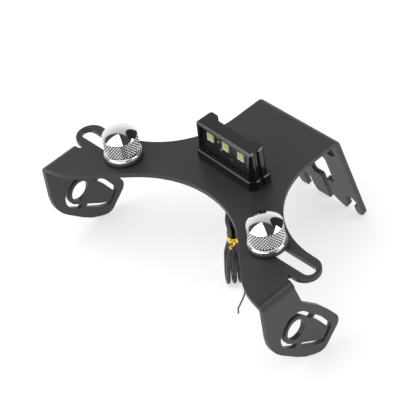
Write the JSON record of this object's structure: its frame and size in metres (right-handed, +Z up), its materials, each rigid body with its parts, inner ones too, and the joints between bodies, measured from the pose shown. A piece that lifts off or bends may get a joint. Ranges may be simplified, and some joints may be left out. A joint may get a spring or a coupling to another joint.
{
  "type": "motorcycle tail tidy",
  "caption": "Folded sheet-metal bracket that carries a motorcycle number plate on knurled knobs, with a plate light, turn-signal tabs and a slotted mounting flange.",
  "frame": {"origin": "middle of the bracket's box, on the surface that it stands on", "axes": "+X to the right side tab, +Y to the mounting flange, +Z up; the bracket stands on its two side tabs and the flange"},
  "size_m": [0.1802, 0.1348, 0.0866],
  "materials": {
    "black_powder_coat": "satin",
    "knob_chrome": "polished",
    "washer_rubber": "matt",
    "zinc_steel": "bright zinc",
    "light_black": "gloss",
    "clear_window": "gloss",
    "board_black": "satin",
    "chip_white": "satin",
    "board_trim": "satin",
    "seal_rubber": "matt",
    "cable_sheath": "satin",
    "tie_foil": "foil",
    "wire_insulation": "satin"
  },
  "bodies": {
    "frame": {"bracket": "black_powder_coat", "light_base": "light_black", "light_cover": "light_black", "light_window": "clear_window", "light_board": "board_black", "left_light_chip": "chip_white", "middle_light_chip": "chip_white", "right_light_chip": "chip_white", "board_parts": "board_trim", "light_gasket": "seal_rubber", "light_screws": "zinc_steel", "light_screw_washers": "zinc_steel", "cable_grommet": "seal_rubber", "cable_lead": "cable_sheath", "cable_hank": "cable_sheath", "twist_tie": "tie_foil", "cable_tail": "cable_sheath", "wire_end": "wire_insulation"},
    "left_clamp": {"left_plate_screw": "zinc_steel", "left_flat_washer": "zinc_steel", "left_rubber_washer": "washer_rubber"},
    "right_clamp": {"right_plate_screw": "zinc_steel", "right_flat_washer": "zinc_steel", "right_rubber_washer": "washer_rubber"},
    "left_knob": {"left_knob": "knob_chrome"},
    "right_knob": {"right_knob": "knob_chrome"}
  },
  "joints": [
    {"name": "left_clamp_slide", "type": "slide", "parent": "frame", "child": "left_clamp", "axis": [-1, 0, 0], "range_m": [0, 0.029]},
    {"name": "right_clamp_slide", "type": "slide", "parent": "frame", "child": "right_clamp", "axis": [1, 0, 0], "range_m": [0, 0.029]},
    {"name": "left_knob_turn", "type": "hinge", "parent": "left_clamp", "child": "left_knob", "pos_m": [-0.055, -0.0337, 0.06208], "axis": [0, -0.0797, 0.9968], "continuous": true},
    {"name": "right_knob_turn", "type": "hinge", "parent": "right_clamp", "child": "right_knob", "pos_m": [0.055, -0.0337, 0.06208], "axis": [0, -0.0797, 0.9968], "continuous": true}
  ]
}
